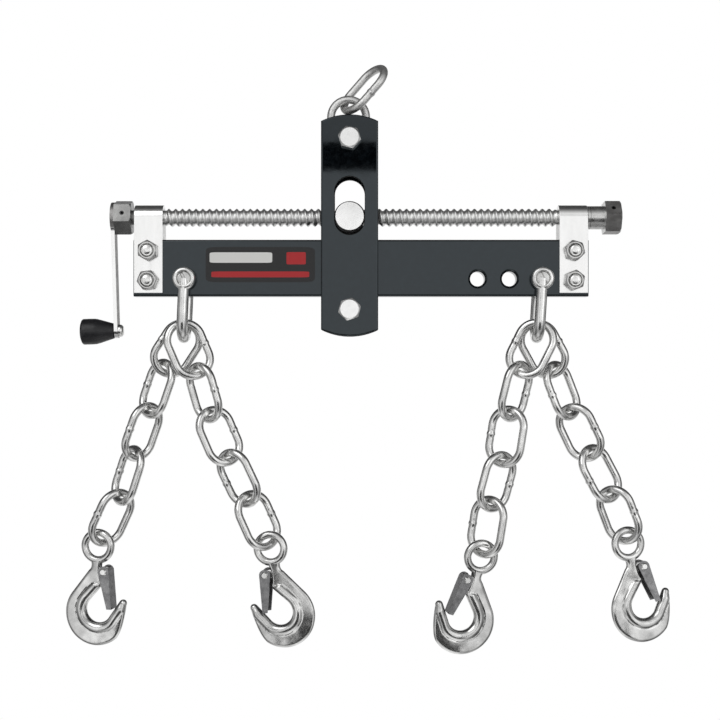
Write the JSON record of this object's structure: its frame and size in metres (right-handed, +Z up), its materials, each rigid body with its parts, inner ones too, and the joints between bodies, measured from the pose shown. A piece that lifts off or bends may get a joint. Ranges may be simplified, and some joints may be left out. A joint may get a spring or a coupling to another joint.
{
  "type": "engine load leveler",
  "caption": "Load leveler for lifting an engine: a hand crank turns a screw that moves a slotted carriage along a flat beam, which carries chains with latched hooks.",
  "frame": {"origin": "middle of the upper lifting link, where the crane's hook goes", "axes": "+Z up, +X along the beam away from the crank, +Y to the back across the beam's thickness"},
  "size_m": [0.5396, 0.0626, 0.5213],
  "materials": {
    "zinc_steel": "zinc plated",
    "black_paint": "gloss",
    "latch_steel": "satin",
    "grip": "gloss"
  },
  "bodies": {
    "upper_link": {"upper_link": "zinc_steel"},
    "lower_link": {"lower_link": "zinc_steel"},
    "carriage": {"front_plate": "black_paint", "back_plate": "black_paint", "carriage_bolts": "zinc_steel", "carriage_nuts": "zinc_steel", "carriage_washers": "zinc_steel", "spacer_sleeves": "zinc_steel"},
    "trunnion": {"trunnion_nut": "zinc_steel"},
    "beam": {"beam": "black_paint", "left_strap": "zinc_steel", "right_strap": "zinc_steel", "bearing_blocks": "zinc_steel", "strap_bolts": "zinc_steel", "strap_nuts": "zinc_steel"},
    "screw": {"lead_screw": "zinc_steel", "crank_hub": "zinc_steel", "drive_hex": "zinc_steel", "roll_pins": "zinc_steel", "thrust_washer": "zinc_steel", "crank_arm": "zinc_steel", "grip_rivet": "zinc_steel"},
    "grip": {"crank_grip": "grip"},
    "left_shackle": {"left_shackle": "zinc_steel", "left_shackle_pin": "zinc_steel"},
    "right_shackle": {"right_shackle": "zinc_steel", "right_shackle_pin": "zinc_steel"},
    "link_ll_1": {"link_ll_1": "zinc_steel"},
    "link_ll_2": {"link_ll_2": "zinc_steel"},
    "link_ll_3": {"link_ll_3": "zinc_steel"},
    "link_ll_4": {"link_ll_4": "zinc_steel"},
    "link_ll_5": {"link_ll_5": "zinc_steel"},
    "hook_ll": {"hook_ll": "zinc_steel", "latch_rivet_ll": "zinc_steel"},
    "latch_ll": {"latch_ll": "latch_steel"},
    "link_lr_1": {"link_lr_1": "zinc_steel"},
    "link_lr_2": {"link_lr_2": "zinc_steel"},
    "link_lr_3": {"link_lr_3": "zinc_steel"},
    "link_lr_4": {"link_lr_4": "zinc_steel"},
    "link_lr_5": {"link_lr_5": "zinc_steel"},
    "hook_lr": {"hook_lr": "zinc_steel", "latch_rivet_lr": "zinc_steel"},
    "latch_lr": {"latch_lr": "latch_steel"},
    "link_rl_1": {"link_rl_1": "zinc_steel"},
    "link_rl_2": {"link_rl_2": "zinc_steel"},
    "link_rl_3": {"link_rl_3": "zinc_steel"},
    "link_rl_4": {"link_rl_4": "zinc_steel"},
    "link_rl_5": {"link_rl_5": "zinc_steel"},
    "hook_rl": {"hook_rl": "zinc_steel", "latch_rivet_rl": "zinc_steel"},
    "latch_rl": {"latch_rl": "latch_steel"},
    "link_rr_1": {"link_rr_1": "zinc_steel"},
    "link_rr_2": {"link_rr_2": "zinc_steel"},
    "link_rr_3": {"link_rr_3": "zinc_steel"},
    "link_rr_4": {"link_rr_4": "zinc_steel"},
    "link_rr_5": {"link_rr_5": "zinc_steel"},
    "hook_rr": {"hook_rr": "zinc_steel", "latch_rivet_rr": "zinc_steel"},
    "latch_rr": {"latch_rr": "latch_steel"}
  },
  "joints": [
    {"name": "lift_swing", "type": "hinge", "parent": "upper_link", "child": "lower_link", "pos_m": [-0.01476, 0, -0.0136], "axis": [0, 1, 0], "range_deg": [-10, 10]},
    {"name": "carriage_swing", "type": "hinge", "parent": "lower_link", "child": "carriage", "pos_m": [-0.01261, 0, -0.0453], "axis": [0, 1, 0], "range_deg": [-12, 12]},
    {"name": "beam_tilt", "type": "hinge", "parent": "carriage", "child": "trunnion", "pos_m": [-0.01261, 0, -0.1133], "axis": [0, 1, 0], "range_deg": [-12, 12]},
    {"name": "carriage_travel", "type": "slide", "parent": "trunnion", "child": "beam", "axis": [1, 0, 0], "range_m": [-0.0801, 0.0601]},
    {"name": "screw_spin", "type": "hinge", "parent": "beam", "child": "screw", "pos_m": [-0.21941, 0, -0.1133], "axis": [1, 0, 0], "range_deg": [-4800, 3600]},
    {"name": "grip_spin", "type": "hinge", "parent": "screw", "child": "grip", "pos_m": [-0.23506, 0, -0.2138], "axis": [-0.9996, 0, -0.0297], "continuous": true},
    {"name": "left_shackle_swing", "type": "hinge", "parent": "beam", "child": "left_shackle", "pos_m": [-0.15711, 0, -0.1678], "axis": [0, 1, 0], "range_deg": [-10, 10]},
    {"name": "right_shackle_swing", "type": "hinge", "parent": "beam", "child": "right_shackle", "pos_m": [0.15589, 0, -0.1678], "axis": [0, 1, 0], "range_deg": [-10, 10]},
    {"name": "link_ll_1_swing", "type": "hinge", "parent": "left_shackle", "child": "link_ll_1", "pos_m": [-0.1593, 0.0062, -0.21791], "axis": [0, 1, 0], "range_deg": [-6, 12]},
    {"name": "link_ll_2_swing", "type": "hinge", "parent": "link_ll_1", "child": "link_ll_2", "pos_m": [-0.1776, 0.0062, -0.24609], "axis": [0.6698, -0.7071, -0.2267], "range_deg": [-10, 10]},
    {"name": "link_ll_3_swing", "type": "hinge", "parent": "link_ll_2", "child": "link_ll_3", "pos_m": [-0.19039, 0.0062, -0.28389], "axis": [0, 1, 0], "range_deg": [-10, 10]},
    {"name": "link_ll_4_swing", "type": "hinge", "parent": "link_ll_3", "child": "link_ll_4", "pos_m": [-0.20384, 0.0062, -0.3223], "axis": [0.6127, -0.766, -0.1944], "range_deg": [-10, 10]},
    {"name": "link_ll_5_swing", "type": "hinge", "parent": "link_ll_4", "child": "link_ll_5", "pos_m": [-0.21615, 0.0062, -0.36109], "axis": [0, 1, 0], "range_deg": [-10, 10]},
    {"name": "hook_ll_swing", "type": "hinge", "parent": "link_ll_5", "child": "hook_ll", "pos_m": [-0.23288, 0.0062, -0.39798], "axis": [0, 1, 0], "range_deg": [-11, 11]},
    {"name": "latch_ll_turn", "type": "hinge", "parent": "hook_ll", "child": "latch_ll", "pos_m": [-0.22924, 0.0047, -0.42661], "axis": [0.2079, 0.9781, 0.0018], "range_deg": [0, 28], "stiffness_Nm_per_rad": 0.02, "springref_deg": -28.65},
    {"name": "link_lr_1_swing", "type": "hinge", "parent": "left_shackle", "child": "link_lr_1", "pos_m": [-0.1593, -0.0062, -0.21791], "axis": [0, 1, 0], "range_deg": [-12, 6]},
    {"name": "link_lr_2_swing", "type": "hinge", "parent": "link_lr_1", "child": "link_lr_2", "pos_m": [-0.14625, -0.0062, -0.24866], "axis": [0.6797, -0.7071, 0.1949], "range_deg": [-10, 10]},
    {"name": "link_lr_3_swing", "type": "hinge", "parent": "link_lr_2", "child": "link_lr_3", "pos_m": [-0.13511, -0.0062, -0.28749], "axis": [0, 1, 0], "range_deg": [-10, 10]},
    {"name": "link_lr_4_swing", "type": "hinge", "parent": "link_lr_3", "child": "link_lr_4", "pos_m": [-0.11905, -0.0062, -0.32478], "axis": [0.732, -0.5878, 0.3445], "range_deg": [-10, 10]},
    {"name": "link_lr_5_swing", "type": "hinge", "parent": "link_lr_4", "child": "link_lr_5", "pos_m": [-0.10172, -0.0062, -0.36161], "axis": [0, 1, 0], "range_deg": [-10, 10]},
    {"name": "hook_lr_swing", "type": "hinge", "parent": "link_lr_5", "child": "hook_lr", "pos_m": [-0.0851, -0.0062, -0.39876], "axis": [0, 1, 0], "range_deg": [-11, 11]},
    {"name": "latch_lr_turn", "type": "hinge", "parent": "hook_lr", "child": "latch_lr", "pos_m": [-0.0858, -0.0047, -0.42779], "axis": [-0.2054, -0.9781, -0.0325], "range_deg": [0, 28], "stiffness_Nm_per_rad": 0.02, "springref_deg": -28.65},
    {"name": "link_rl_1_swing", "type": "hinge", "parent": "right_shackle", "child": "link_rl_1", "pos_m": [0.15283, -0.0062, -0.21787], "axis": [0, 1, 0], "range_deg": [-6, 12]},
    {"name": "link_rl_2_swing", "type": "hinge", "parent": "link_rl_1", "child": "link_rl_2", "pos_m": [0.13807, -0.0062, -0.2476], "axis": [0.674, 0.7193, -0.1681], "range_deg": [-10, 10]},
    {"name": "link_rl_3_swing", "type": "hinge", "parent": "link_rl_2", "child": "link_rl_3", "pos_m": [0.12837, -0.0062, -0.28651], "axis": [0, 1, 0], "range_deg": [-10, 10]},
    {"name": "link_rl_4_swing", "type": "hinge", "parent": "link_rl_3", "child": "link_rl_4", "pos_m": [0.122, -0.0062, -0.32671], "axis": [0.7815, 0.5878, -0.2094], "range_deg": [-10, 10]},
    {"name": "link_rl_5_swing", "type": "hinge", "parent": "link_rl_4", "child": "link_rl_5", "pos_m": [0.11149, -0.0062, -0.36593], "axis": [0, 1, 0], "range_deg": [-10, 10]},
    {"name": "hook_rl_swing", "type": "hinge", "parent": "link_rl_5", "child": "hook_rl", "pos_m": [0.10514, -0.0062, -0.40603], "axis": [0, 1, 0], "range_deg": [-11, 11]},
    {"name": "latch_rl_turn", "type": "hinge", "parent": "hook_rl", "child": "latch_rl", "pos_m": [0.08941, -0.0077, -0.43127], "axis": [0.1977, -0.9781, -0.0642], "range_deg": [0, 28], "stiffness_Nm_per_rad": 0.02, "springref_deg": -28.65},
    {"name": "link_rr_1_swing", "type": "hinge", "parent": "right_shackle", "child": "link_rr_1", "pos_m": [0.15283, 0.0062, -0.21787], "axis": [0, 1, 0], "range_deg": [-12, 6]},
    {"name": "link_rr_2_swing", "type": "hinge", "parent": "link_rr_1", "child": "link_rr_2", "pos_m": [0.16896, 0.0062, -0.24757], "axis": [0.6606, 0.7071, 0.2523], "range_deg": [-10, 10]},
    {"name": "link_rr_3_swing", "type": "hinge", "parent": "link_rr_2", "child": "link_rr_3", "pos_m": [0.18337, 0.0062, -0.28531], "axis": [0, 1, 0], "range_deg": [-10, 10]},
    {"name": "link_rr_4_swing", "type": "hinge", "parent": "link_rr_3", "child": "link_rr_4", "pos_m": [0.20076, 0.0062, -0.32211], "axis": [0.7156, 0.5878, 0.3773], "range_deg": [-10, 10]},
    {"name": "link_rr_5_swing", "type": "hinge", "parent": "link_rr_4", "child": "link_rr_5", "pos_m": [0.21974, 0.0062, -0.35811], "axis": [0, 1, 0], "range_deg": [-10, 10]},
    {"name": "hook_rr_swing", "type": "hinge", "parent": "link_rr_5", "child": "hook_rr", "pos_m": [0.23409, 0.0062, -0.39609], "axis": [0, 1, 0], "range_deg": [-11, 11]},
    {"name": "latch_rr_turn", "type": "hinge", "parent": "hook_rr", "child": "latch_rr", "pos_m": [0.24698, 0.0077, -0.42233], "axis": [-0.2017, 0.9781, -0.0503], "range_deg": [0, 28], "stiffness_Nm_per_rad": 0.02, "springref_deg": -28.65}
  ],
  "couplings": [
    {"joint": "carriage_travel", "follows": "screw_spin", "m_per_rad": 0.00095493}
  ]
}
